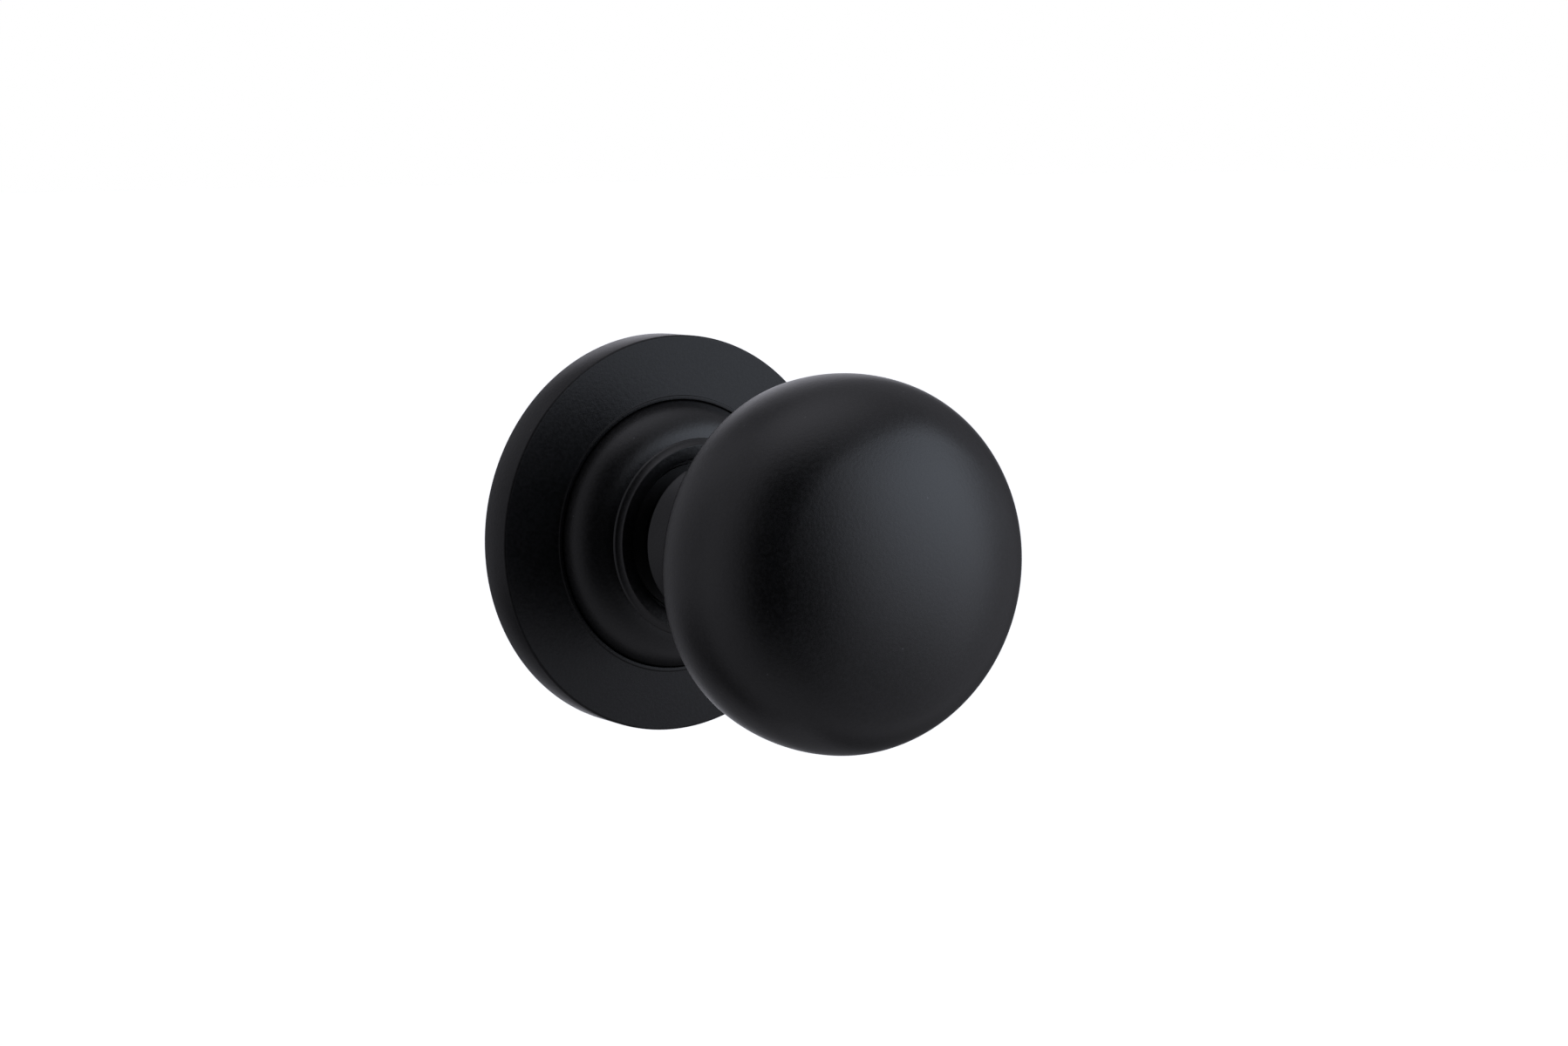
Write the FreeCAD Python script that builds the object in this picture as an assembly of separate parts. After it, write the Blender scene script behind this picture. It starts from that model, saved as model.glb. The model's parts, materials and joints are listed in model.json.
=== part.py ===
"""A sprung mushroom door knob on a round concealed-fixing rose, in millimetres.

The knob's axis is the Y axis. The door's face is the plane y = 0, the knob stands out of it
towards -Y, and the spindle and bolts go into the door towards +Y. +Z is up. Radii are measured
from the axis, and "out" is the distance from the door's face towards the room, so y = -out.
"""
import FreeCAD, Part
import math
import os
from FreeCAD import Vector

# Rose cover: a pressed disc that hides the fixings
rose_radius = 30.0
rose_rim_out = 5.98
rose_face_out = 6.30
cover_wall = 1.2
cover_draft = 0.08
cover_hole_radius = 20.3
rim_round = 0.4
bead_outer_radius = 21.05
bead_crest_radius = 20.93
bead_out = 6.50
bead_inner_radius = 20.45
cover_corner = 0.5

# Rose collar: the turned ovolo in the middle of the cover, with two small steps at its top
collar_radius = 20.25
collar_base_out = 6.38
collar_foot_tilt = 78.0
collar_top_radius = 15.0
collar_top_out = 11.93
lip_land_outer = (14.86, 12.23)
lip_land_inner = (14.27, 12.62)
lip_radius = 14.12
lip_out = 13.08
collar_bore_radius = 12.1
collar_edge = 0.12
collar_flange_radius = 21.6
collar_flange_inner = 18.0
collar_flange_out = 3.75
collar_recess_radius = 15.2
collar_recess_out = 10.6
collar_step_radius = 13.6
collar_step_out = 11.5
collar_foot_out = 8.0

# Mounting plate: the casting that is fixed to the door
plate_radius = 28.4
plate_rim_inner = 26.6
plate_rim_out = 3.9
plate_floor_out = 2.4
turret_radius = 14.7
turret_bore = 13.0
turret_out = 10.3
plate_edge = 0.3
plate_rim_edge = 0.4
cap_seat_radius = 13.4
cap_seat_out = 9.0
cap_groove_depth = 0.4
cap_groove_back = 9.62
cap_groove_front = 10.12
rim_groove_depth = 0.9
rim_groove_back = 1.6
rim_groove_front = 2.7
web_front = 3.4
web_back = 1.9
back_recess_radius = 11.0
bolt_boss_radius = 4.5
wood_screw_boss_radius = 4.2
lightening_inner = 15.5
lightening_outer = 26.0
lightening_depth = 1.2
lightening_half_angle = 19.0

# Fixings, on the standard 38 mm circle
fixing_circle = 38.0
bolt_radius = 2.0
bolt_head_radius = 3.9
bolt_length = 30.0
bolt_head_out = 3.4
bolt_head_depth = 2.0
bolt_point = 0.8
bolt_taper = 0.6
bolt_shank_radius = 1.8
bolt_thread_start = -6.5
bolt_recess = (2.3, 1.5)
wood_screw_radius = 1.75
wood_screw_head_radius = 3.4
wood_screw_length = 16.0
wood_screw_head_out = 3.1
wood_screw_head_depth = 1.8
wood_screw_point = 5.0
wood_screw_tip_radius = 0.15
wood_screw_recess = (1.9, 1.2)
hole_clearance = 0.15
head_sink = 0.05
countersink_extra = 0.1
spigot_radius = 3.6
spigot_length = 6.0
spigot_flange_radius = 4.6
spigot_flange = 1.0

# Knob shank: the waisted neck, its journal and its square socket
neck_foot_radius = 11.96
neck_start = 16.3
neck_waist_radius = 9.8
neck_waist_out = 26.5
neck_head_radius = 16.4
neck_edge = 0.2
shoulder_radius = 9.0
shoulder_start = 11.3
journal_radius = 8.0
journal_edge = 0.15
journal_start = 0.1
clip_groove_depth = 0.6
clip_groove_back = 0.35
clip_groove_front = 1.05
flat_distance = 7.0
flats_out = 5.6
tenon_radius = 10.0
tenon_end = 49.9
tenon_edge = 0.5
neck_land = 0.3
socket_side = 8.1
socket_out = 37.0
screw_pocket_radius = 3.95
screw_pocket_out = 43.0
running_clearance = 0.06
seat_clearance = 0.05
thread_clearance = 0.03
washer_clearance = 0.1

# Knob head: a hollow cast mushroom, outlined by tangent arcs. Each edge is the angle of the
# skin's normal from the radial direction, in degrees: 90 on the axis, 0 at the widest plane.
head_front_out = 68.5
head_dome_radius = 41.2
head_dome_edge = 62.2
head_shoulder_radius = 14.6
head_shoulder_edge = 7.6
head_belly_radius = 25.2
head_belly_edge = -14.5
head_corner_radius = 2.6
head_wall = 2.4
head_boss_radius = 6.5
head_boss_start = 50.0
head_boss_hole_end = 62.5

# Spindle and the screws that hold the knob together
spindle_side = 7.9
spindle_inner_end = 36.5
spindle_outer_end = -32.0
spindle_chamfer = 0.6
grub_radius = 2.45
grub_out = 27.0
grub_end = 9.0
grub_cone = 1.0
grub_tip_radius = 1.55
grub_gap = 0.02
grub_socket = 2.5
grub_socket_depth = 2.6
head_screw_radius = 1.95
head_screw_end = 61.0
head_screw_head_radius = 3.5
head_screw_head_height = 3.4
head_screw_point = 1.0
head_screw_point_taper = 0.6
head_screw_socket = 3.0
head_screw_socket_depth = 2.0
lock_washer_thickness = 0.58
lock_washer_gap = 0.02
lock_washer_split_clock = 40.0
lock_washer_split_half_angle = 8.0
dowel_radius = 1.0
dowel_clearance = 0.02
dowel_end_gap = 0.3
dowel_start_gap = 0.2
dowel_circle_radius = 4.6
dowel_start = 45.5
dowel_end = 54.5

# Washers, clips and the bush
thrust_washer_radius = 11.2
thrust_washer_back = 10.75
thrust_washer_front = 11.25
wave_washer_radius = 10.2
wave_washer_clearance = 0.15
wave_washer_out = 1.32
wave_washer_thickness = 0.22
wave_washer_swing = 0.1
rear_washer_radius = 10.6
rear_washer_back = 1.58
rear_washer_front = 1.88
circlip_back = 0.4
circlip_front = 1.0
circlip_depth = 0.55
circlip_radius = 9.2
circlip_split_half_angle = 9.0
circlip_ear_angle = 15.0
circlip_ear_radius = 1.2
circlip_ear_distance = 9.3
circlip_hole_radius = 0.5
circlip_hole_distance = 9.4
cap_hole_radius = 9.0
cap_front = 9.6
cap_clip_inner = 12.4
cap_clip_depth = 0.35
cap_clip_back = 9.64
cap_clip_front = 10.1
cap_clip_split_half_angle = 8.0
cap_clip_ear_angle = 11.0
cap_clip_ear_radius = 0.75
cap_clip_ear_distance = 12.75
cap_clip_hole_radius = 0.35
cap_clip_hole_distance = 12.65
bush_back = 7.9
bush_radius = 8.9
bush_edge = 0.2
bush_flange_radius = 11.8
bush_flange_back = 9.64
bush_front = 10.7

# Snap ring: round wire in the plate's rim groove
snap_wire_radius = 0.4
snap_ring_out = 2.15
snap_ring_sink = 0.45
snap_ring_proud = 0.08
snap_ring_gap_angle = 6.0
snap_ring_steps = 72

# Spring cassette
cam_radius = 10.8
cam_overlap = 1.0
cam_back = 3.6
cam_front = 4.8
finger_inner = 11.25
finger_outer = 11.95
finger_front = 8.6
finger_half_angle = 7.0
lug_radius = 12.75
lug_half_angle = 9.0
turn_limit = 55.0
stop_gap_angle = 1.0
stop_width_angle = 10.0
stop_inner = 11.5
stop_front = 5.0
post_inner = 12.15
post_half_angle = 6.5
turret_overlap = 0.3
spring_wire_radius = 0.6
spring_coil_radius = 9.9
spring_first_out = 5.5
spring_pitch = 1.3
spring_turns = 2
spring_leg_angle = 10.6
spring_leg_end = 12.8

# How far a cutting tool runs past the face that it cuts through
overcut = 1.0

origin = Vector(0, 0, 0)
door_normal = Vector(0, 1, 0)


def at(radius, out):
    """The point on the right of the axis at this radius and distance from the door."""
    return Vector(radius, -out, 0)


def turned(outline, start_angle=0.0, sweep=360.0):
    """Turn an outline about the knob's axis. A string "arc" makes the next two points an arc."""
    edges = []
    here = at(*outline[0])
    steps = list(outline[1:]) + [outline[0]]
    while steps:
        step = steps.pop(0)
        if step == "arc":
            middle = at(*steps.pop(0))
            end = at(*steps.pop(0))
            edges.append(Part.Arc(here, middle, end).toShape())
        else:
            end = at(*step)
            if end.distanceToPoint(here) < 1e-6:
                continue
            edges.append(Part.LineSegment(here, end).toShape())
        here = end
    face = Part.Face(Part.Wire(edges))
    solid = face.revolve(origin, door_normal, sweep)
    solid.rotate(origin, door_normal, start_angle)
    return solid


def ring(inner, outer, back, front):
    """A flat ring, or a disc when inner is 0, between two distances from the door."""
    return turned([(inner, back), (outer, back), (outer, front), (inner, front)])


def sector(inner, outer, back, front, clock, half_angle):
    """A piece of a ring centred on an angle about +Y from twelve o'clock."""
    outline = [(inner, back), (outer, back), (outer, front), (inner, front)]
    return turned(outline, clock - 90.0 - half_angle, 2.0 * half_angle)


def rod(radius, back, front, clock=0.0, distance=0.0):
    """A round bar along the axis, a distance away from it at an angle from twelve o'clock."""
    angle = math.radians(clock)
    foot = Vector(distance * math.sin(angle), -front, distance * math.cos(angle))
    return Part.makeCylinder(radius, front - back, foot, door_normal)


def cone(back_radius, front_radius, back, front, clock=0.0, distance=0.0):
    """A tapered bar along the axis, placed as a rod is."""
    angle = math.radians(clock)
    foot = Vector(distance * math.sin(angle), -front, distance * math.cos(angle))
    return Part.makeCone(front_radius, back_radius, front - back, foot, door_normal)


def square_bar(side, back, front, chamfer=0.0):
    """A square bar on the axis, with its long edges chamfered."""
    corner = Vector(-side / 2, -front, -side / 2)
    bar = Part.makeBox(side, front - back, side, corner)
    if chamfer:
        bar = bar.makeChamfer(chamfer, bar.Edges)
    return bar


def hex_prism(across_flats, height, foot, direction):
    """A six-sided prism for a hexagon socket."""
    corner_radius = across_flats / math.sqrt(3)
    normal = Vector(direction).normalize()
    side = Vector(0, 1, 0) if abs(normal.y) < 0.5 else Vector(1, 0, 0)
    other = normal.cross(side)
    corners = []
    for step in range(6):
        angle = math.radians(60 * step)
        offset = side * math.cos(angle) + other * math.sin(angle)
        corners.append(foot + offset * corner_radius)
    face = Part.Face(Part.makePolygon(corners + [corners[0]]))
    return face.extrude(normal * height)


def head_outline(inset):
    """The head's outline from its front to its back, drawn in by an inset, as arcs."""
    arcs = [(head_dome_radius, 90.0, head_dome_edge),
            (head_shoulder_radius, head_dome_edge, head_shoulder_edge),
            (head_belly_radius, head_shoulder_edge, head_belly_edge),
            (head_corner_radius, head_belly_edge, -90.0)]
    radius, out = 0.0, head_front_out - inset
    edges = []
    for full_radius, start, end in arcs:
        bend = full_radius - inset
        centre_radius = radius - bend * math.cos(math.radians(start))
        centre_out = out - bend * math.sin(math.radians(start))
        points = []
        for normal in (start, (start + end) / 2, end):
            angle = math.radians(normal)
            points.append((centre_radius + bend * math.cos(angle),
                           centre_out + bend * math.sin(angle)))
        edges.append(Part.Arc(*[at(*point) for point in points]).toShape())
        radius, out = points[-1]
    return edges, radius, out


def head_back_out():
    """How far the head's flat back stands from the door."""
    return head_outline(0.0)[2]


def head_form(inset):
    """The head's solid form, drawn in from its outer skin by an inset."""
    edges, radius, out = head_outline(inset)
    edges.append(Part.LineSegment(at(radius, out), at(0, out)).toShape())
    edges.append(Part.LineSegment(at(0, out), at(0, head_front_out - inset)).toShape())
    return Part.Face(Part.Wire(edges)).revolve(origin, door_normal, 360)


def dowel_clocks():
    """The dowels stand on either side of the axis."""
    return (90, 270)


def knob_head():
    """A hollow casting with a hole for the neck's tenon and a boss for the screw that holds it."""
    head = head_form(0.0).cut(head_form(head_wall))
    boss = rod(head_boss_radius, head_boss_start, head_front_out - head_wall / 2)
    head = head.fuse(boss)
    head = head.cut(rod(tenon_radius + seat_clearance, head_back_out() - overcut, head_boss_start))
    head = head.cut(rod(head_screw_radius + thread_clearance, head_boss_start - overcut,
                        head_boss_hole_end))
    for clock in dowel_clocks():
        head = head.cut(rod(dowel_radius, head_boss_start - overcut, dowel_end, clock,
                            dowel_circle_radius))
    return head.removeSplitter()


def journal_flats(distance):
    """The two blocks that are milled off the journal to leave its driving flats."""
    height = journal_radius * 2
    right = Part.makeBox(journal_radius, flats_out + overcut, height,
                         Vector(distance, -flats_out, -height / 2))
    left = right.mirror(origin, Vector(1, 0, 0))
    return [right, left]


def waist_arc(radius, out):
    """The neck's arc between its waist and a point, as its middle and that point.

    It runs along the axis at the waist, so its centre is level with the waist.
    """
    rise, length = radius - neck_waist_radius, out - neck_waist_out
    bend = (rise ** 2 + length ** 2) / (2 * rise)
    half = math.asin(length / bend) / 2
    middle = (neck_waist_radius + bend * (1 - math.cos(half)), neck_waist_out + bend * math.sin(half))
    return middle, (radius, out)


def knob_shank():
    """The turned neck, stepped down to the journal that runs in the rose."""
    foot = (neck_foot_radius, neck_start + neck_edge)
    groove_radius = journal_radius - clip_groove_depth
    seat = head_back_out()
    lower_middle, _ = waist_arc(*foot)
    upper_middle, top = waist_arc(neck_head_radius, seat - neck_land)
    shank = turned([
        (0, journal_start), (journal_radius - journal_edge, journal_start),
        (journal_radius, journal_start + journal_edge),
        (journal_radius, clip_groove_back), (groove_radius, clip_groove_back),
        (groove_radius, clip_groove_front), (journal_radius, clip_groove_front),
        (journal_radius, shoulder_start), (shoulder_radius, shoulder_start),
        (shoulder_radius, neck_start), (neck_foot_radius - neck_edge, neck_start), foot,
        "arc", lower_middle, (neck_waist_radius, neck_waist_out), "arc", upper_middle, top,
        (neck_head_radius, seat), (tenon_radius, seat), (tenon_radius, tenon_end - tenon_edge),
        (tenon_radius - tenon_edge, tenon_end), (0, tenon_end)])
    shank = shank.cut(journal_flats(flat_distance))
    shank = shank.cut(square_bar(socket_side, -overcut, socket_out))
    shank = shank.cut(rod(screw_pocket_radius, socket_out - overcut, screw_pocket_out))
    shank = shank.cut(rod(head_screw_radius + hole_clearance, screw_pocket_out - overcut,
                          tenon_end + overcut))
    for clock in dowel_clocks():
        shank = shank.cut(rod(dowel_radius, dowel_start, tenon_end + overcut, clock,
                              dowel_circle_radius))
    grub_hole = Part.makeCylinder(grub_radius + seat_clearance, neck_foot_radius + overcut,
                                  Vector(0, -grub_out, 0), Vector(0, 0, -1))
    return shank.cut(grub_hole)


def head_screw():
    """The cap screw, reached through the square socket, that pulls the head onto the neck."""
    seat = screw_pocket_out - lock_washer_thickness - lock_washer_gap
    head_back = seat - head_screw_head_height
    point = head_screw_end - head_screw_point
    screw = rod(head_screw_head_radius, head_back, seat)
    screw = screw.fuse(rod(head_screw_radius, seat, point))
    screw = screw.fuse(cone(head_screw_radius, head_screw_radius - head_screw_point_taper, point,
                            head_screw_end))
    socket = hex_prism(head_screw_socket, head_screw_socket_depth, Vector(0, -head_back, 0),
                       Vector(0, -1, 0))
    return screw.cut(socket)


def lock_washer():
    """A split spring washer under the cap screw's head."""
    back = screw_pocket_out - lock_washer_thickness
    washer = ring(head_screw_radius + washer_clearance, head_screw_head_radius, back,
                  screw_pocket_out)
    split = sector(head_screw_radius - overcut, head_screw_head_radius + overcut, back - overcut,
                   screw_pocket_out + overcut, lock_washer_split_clock,
                   lock_washer_split_half_angle)
    return washer.cut(split)


def head_dowels():
    """Two pins that stop the head turning on the neck."""
    pins = [rod(dowel_radius - dowel_clearance, dowel_start + dowel_start_gap,
                dowel_end - dowel_end_gap, clock, dowel_circle_radius)
            for clock in dowel_clocks()]
    return Part.makeCompound(pins)


def spindle():
    """The square bar that turns the latch."""
    return square_bar(spindle_side, spindle_outer_end, spindle_inner_end, spindle_chamfer)


def spindle_grub_screw():
    """The set screw under the neck that holds the spindle."""
    tip = spindle_side / 2 + grub_gap
    down = Vector(0, 0, -1)
    body = Part.makeCylinder(grub_radius, grub_end - tip - grub_cone,
                             Vector(0, -grub_out, -tip - grub_cone), down)
    point = Part.makeCone(grub_tip_radius, grub_radius, grub_cone, Vector(0, -grub_out, -tip),
                          down)
    socket = hex_prism(grub_socket, grub_socket_depth, Vector(0, -grub_out, -grub_end), -down)
    return body.fuse(point).cut(socket)


def drive_cam():
    """The cam on the journal's flats: a finger that winds the spring and a lug that meets the stops."""
    root = cam_radius - cam_overlap
    cam = ring(0, cam_radius, cam_back, cam_front)
    cam = cam.fuse(sector(root, finger_outer, cam_back, cam_front, 0, finger_half_angle))
    cam = cam.fuse(sector(finger_inner, finger_outer, cam_back, finger_front, 0,
                          finger_half_angle))
    cam = cam.fuse(sector(root, lug_radius, cam_back, cam_front, 180, lug_half_angle))
    hole = rod(journal_radius + thread_clearance, cam_back - overcut, cam_front + overcut)
    for block in journal_flats(flat_distance + thread_clearance):
        hole = hole.cut(block)
    return cam.cut(hole).removeSplitter()


def thrust_washer():
    """The washer between the neck's shoulder and the bush."""
    return ring(journal_radius + washer_clearance, thrust_washer_radius, thrust_washer_back,
                thrust_washer_front)


def wave_washer():
    """A wavy spring washer that takes up end play behind the plate."""
    curves = []
    for radius in (journal_radius + wave_washer_clearance, wave_washer_radius):
        points = []
        for step in range(36):
            angle = math.radians(10 * step)
            out = wave_washer_out - wave_washer_thickness / 2 + wave_washer_swing * math.cos(3 * angle)
            points.append(Vector(radius * math.cos(angle), -out, radius * math.sin(angle)))
        curve = Part.BSplineCurve()
        curve.interpolate(Points=points, PeriodicFlag=True)
        curves.append(curve.toShape())
    sheet = Part.makeRuledSurface(curves[0], curves[1])
    return sheet.extrude(Vector(0, -wave_washer_thickness, 0))


def retaining_circlip():
    """The external clip in the journal's groove that keeps the knob in the rose."""
    inner = journal_radius - circlip_depth
    ear_clocks = (180 - circlip_ear_angle, 180 + circlip_ear_angle)
    clip = ring(inner, circlip_radius, circlip_back, circlip_front)
    clip = clip.cut(sector(inner - overcut, circlip_radius + overcut, circlip_back - overcut,
                           circlip_front + overcut, 180, circlip_split_half_angle))
    for clock in ear_clocks:
        clip = clip.fuse(rod(circlip_ear_radius, circlip_back, circlip_front, clock,
                             circlip_ear_distance))
    for clock in ear_clocks:
        clip = clip.cut(rod(circlip_hole_radius, circlip_back - overcut, circlip_front + overcut,
                            clock, circlip_hole_distance))
    return clip.cut(rod(inner, circlip_back - overcut, circlip_front + overcut))


def bolt_clocks():
    """The bolts stand above and below the spindle."""
    return (0, 180)


def wood_screw_clocks():
    """The wood screws stand on either side of it."""
    return (90, 270)


def screw_seats():
    """Each countersunk hole: clock, boss radius, shank radius, head radius, head out and depth."""
    bolt = (bolt_boss_radius, bolt_radius, bolt_head_radius, bolt_head_out, bolt_head_depth)
    wood_screw = (wood_screw_boss_radius, wood_screw_radius, wood_screw_head_radius,
                  wood_screw_head_out, wood_screw_head_depth)
    return ([(clock, *bolt) for clock in bolt_clocks()]
            + [(clock, *wood_screw) for clock in wood_screw_clocks()])


def mounting_plate():
    """The casting: a rim for the cover, a web for the journal and a turret for the spring."""
    journal_hole = journal_radius + running_clearance
    snap_groove_radius = plate_radius - rim_groove_depth
    cap_groove_radius = cap_seat_radius + cap_groove_depth
    plate = turned([
        (back_recess_radius, 0), (plate_radius - plate_edge, 0), (plate_radius, plate_edge),
        (plate_radius, rim_groove_back), (snap_groove_radius, rim_groove_back),
        (snap_groove_radius, rim_groove_front), (plate_radius, rim_groove_front),
        (plate_radius, plate_rim_out - plate_rim_edge),
        (plate_radius - plate_rim_edge, plate_rim_out), (plate_rim_inner, plate_rim_out),
        (plate_rim_inner, plate_floor_out), (turret_radius, plate_floor_out),
        (turret_radius, turret_out - plate_edge), (turret_radius - plate_edge, turret_out),
        (cap_seat_radius, turret_out), (cap_seat_radius, cap_groove_front),
        (cap_groove_radius, cap_groove_front), (cap_groove_radius, cap_groove_back),
        (cap_seat_radius, cap_groove_back), (cap_seat_radius, cap_seat_out),
        (turret_bore, cap_seat_out), (turret_bore, web_front), (journal_hole, web_front),
        (journal_hole, web_back), (back_recess_radius, web_back)])
    distance = fixing_circle / 2
    for clock, boss_radius, _, _, head_out, _ in screw_seats():
        plate = plate.fuse(rod(boss_radius, plate_floor_out - plate_edge, head_out, clock,
                               distance))
    plate = plate.cut(rod(turret_bore, web_front, turret_out))
    plate = plate.fuse(sector(post_inner, turret_bore + turret_overlap, web_front, cap_seat_out, 0,
                              post_half_angle))
    stop_centre = turn_limit + lug_half_angle + stop_gap_angle + stop_width_angle / 2
    for side in (-1, 1):
        plate = plate.fuse(sector(stop_inner, turret_bore + turret_overlap, web_front, stop_front,
                                  180 + side * stop_centre, stop_width_angle / 2))
    for clock, _, shank_radius, head_radius, head_out, head_depth in screw_seats():
        hole = shank_radius + hole_clearance
        plate = plate.cut(rod(hole, -overcut, head_out + overcut, clock, distance))
        plate = plate.cut(cone(hole, head_radius + hole_clearance,
                               head_out - head_depth - countersink_extra, head_out, clock,
                               distance))
    for clock in bolt_clocks():
        plate = plate.cut(rod(spigot_flange_radius + seat_clearance, -overcut, spigot_flange,
                              clock, distance))
    for clock in (45, 135, 225, 315):
        plate = plate.cut(sector(lightening_inner, lightening_outer, -overcut, lightening_depth,
                                 clock, lightening_half_angle))
    return plate.removeSplitter()


def bolt_spigots():
    """Flanged tubes on the plate's back that locate it in the door and sleeve the bolts."""
    spigots = []
    for clock in bolt_clocks():
        spigot = rod(spigot_flange_radius, 0, spigot_flange, clock, fixing_circle / 2)
        spigot = spigot.fuse(rod(spigot_radius, -spigot_length, 0, clock, fixing_circle / 2))
        bore = rod(bolt_radius + hole_clearance, -spigot_length - overcut, spigot_flange + overcut,
                   clock, fixing_circle / 2)
        spigots.append(spigot.cut(bore))
    return Part.makeCompound(spigots)


def cross_recess(front, reach, depth, clock):
    """The cross-shaped driver recess of a countersunk screw."""
    width = reach / 2.6
    cutters = []
    for size_x, size_z in ((reach * 2, width), (width, reach * 2)):
        corner = Vector(-size_x / 2, -front, -size_z / 2)
        cutters.append(Part.makeBox(size_x, depth, size_z, corner))
    cross = cutters[0].fuse(cutters[1])
    angle = math.radians(clock)
    distance = fixing_circle / 2
    cross.translate(Vector(distance * math.sin(angle), 0, distance * math.cos(angle)))
    return cross


def countersunk_screw(clock, radius, head_radius, head_out, head_depth, length, point, tip_radius,
                      recess):
    """A countersunk screw with a tapered point, in its place on the fixing circle."""
    distance = fixing_circle / 2
    tip = head_out - length
    neck = head_out - head_depth
    screw = cone(radius, head_radius, neck, head_out - head_sink, clock, distance)
    screw = screw.fuse(rod(radius, tip + point, neck, clock, distance))
    screw = screw.fuse(cone(tip_radius, radius, tip, tip + point, clock, distance))
    return screw.cut(cross_recess(head_out, *recess, clock))


def through_bolts():
    """Two countersunk machine screws, threaded from inside the door, that clamp the rose to it."""
    distance = fixing_circle / 2
    neck = bolt_head_out - bolt_head_depth
    bolts = []
    for clock in bolt_clocks():
        bolt = countersunk_screw(clock, bolt_radius, bolt_head_radius, bolt_head_out,
                                 bolt_head_depth, bolt_length, bolt_point,
                                 bolt_radius - bolt_taper, bolt_recess)
        relief = rod(bolt_radius + overcut, bolt_thread_start, neck, clock, distance)
        relief = relief.cut(rod(bolt_shank_radius, bolt_thread_start, neck, clock, distance))
        bolts.append(bolt.cut(relief))
    return Part.makeCompound(bolts)


def wood_screws():
    """Two countersunk wood screws that stop the rose turning on the door."""
    return Part.makeCompound([
        countersunk_screw(clock, wood_screw_radius, wood_screw_head_radius, wood_screw_head_out,
                          wood_screw_head_depth, wood_screw_length, wood_screw_point,
                          wood_screw_tip_radius, wood_screw_recess)
        for clock in wood_screw_clocks()])


def cassette_cap():
    """The steel disc that closes the spring's turret and holds the bush."""
    return ring(cap_hole_radius, cap_seat_radius - seat_clearance, cap_seat_out, cap_front)


def cap_retaining_ring():
    """The internal clip that holds the cap in the turret."""
    outer = cap_seat_radius + cap_clip_depth
    ear_clocks = (90 - cap_clip_ear_angle, 90 + cap_clip_ear_angle)
    clip = ring(cap_clip_inner, outer, cap_clip_back, cap_clip_front)
    clip = clip.cut(sector(cap_clip_inner - overcut, outer + overcut, cap_clip_back - overcut,
                           cap_clip_front + overcut, 90, cap_clip_split_half_angle))
    for clock in ear_clocks:
        clip = clip.fuse(rod(cap_clip_ear_radius, cap_clip_back, cap_clip_front, clock,
                             cap_clip_ear_distance))
    for clock in ear_clocks:
        clip = clip.cut(rod(cap_clip_hole_radius, cap_clip_back - overcut,
                            cap_clip_front + overcut, clock, cap_clip_hole_distance))
    return clip


def neck_bush():
    """The flanged nylon bearing that the journal turns in."""
    bore = journal_radius + running_clearance
    return turned([
        (bore, bush_back), (bush_radius - bush_edge, bush_back), (bush_radius, bush_back + bush_edge),
        (bush_radius, bush_flange_back), (bush_flange_radius, bush_flange_back),
        (bush_flange_radius, bush_front - bush_edge), (bush_flange_radius - bush_edge, bush_front),
        (bore, bush_front)])


def rear_washer():
    """The flat washer that the wave washer presses against the web."""
    return ring(journal_radius + washer_clearance, rear_washer_radius, rear_washer_back,
                rear_washer_front)


def cover_snap_ring():
    """A split wire ring in the plate's rim groove, bent out at three places to grip the cover."""
    tight, wide = plate_radius - snap_ring_sink, plate_radius - snap_ring_proud
    sweep = 360 - 2 * snap_ring_gap_angle
    points = []
    for step in range(snap_ring_steps + 1):
        angle = snap_ring_gap_angle + sweep * step / snap_ring_steps
        bulge = max(0.0, math.cos(math.radians(3 * (angle - 60)))) ** 2
        radius = tight + (wide - tight) * bulge
        turn = math.radians(angle)
        points.append(Vector(radius * math.sin(turn), -snap_ring_out, radius * math.cos(turn)))
    curve = Part.BSplineCurve()
    curve.interpolate(Points=points)
    path = Part.Wire(curve.toShape())
    start = Part.makeCircle(snap_wire_radius, points[0], curve.tangent(curve.FirstParameter)[0])
    return path.makePipeShell([Part.Wire(start)], True, True)


def return_spring():
    """The torsion spring: a close coil whose two legs stand either side of the post and finger."""
    turn_angle = 360.0 * spring_turns + 2 * spring_leg_angle
    height = spring_pitch * turn_angle / 360.0
    helix = Part.makeHelix(spring_pitch, height, spring_coil_radius)
    profile = Part.makeCircle(spring_wire_radius, Vector(spring_coil_radius, 0, 0),
                              Vector(0, spring_coil_radius * 2 * math.pi, spring_pitch))
    coil = Part.Wire(helix).makePipeShell([Part.Wire(profile)], True, True)
    leg_length = spring_leg_end - spring_coil_radius
    for level, angle in ((0.0, 0.0), (height, turn_angle)):
        turn = math.radians(angle)
        outward = Vector(math.cos(turn), math.sin(turn), 0)
        foot = outward * spring_coil_radius + Vector(0, 0, level)
        leg = Part.makeCylinder(spring_wire_radius, leg_length, foot, outward)
        elbow = Part.makeSphere(spring_wire_radius, foot)
        coil = coil.fuse(leg).fuse(elbow)
    coil.rotate(origin, Vector(1, 0, 0), 90)
    coil.rotate(origin, door_normal, spring_leg_angle - 90)
    coil.translate(Vector(0, -spring_first_out, 0))
    return coil


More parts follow.
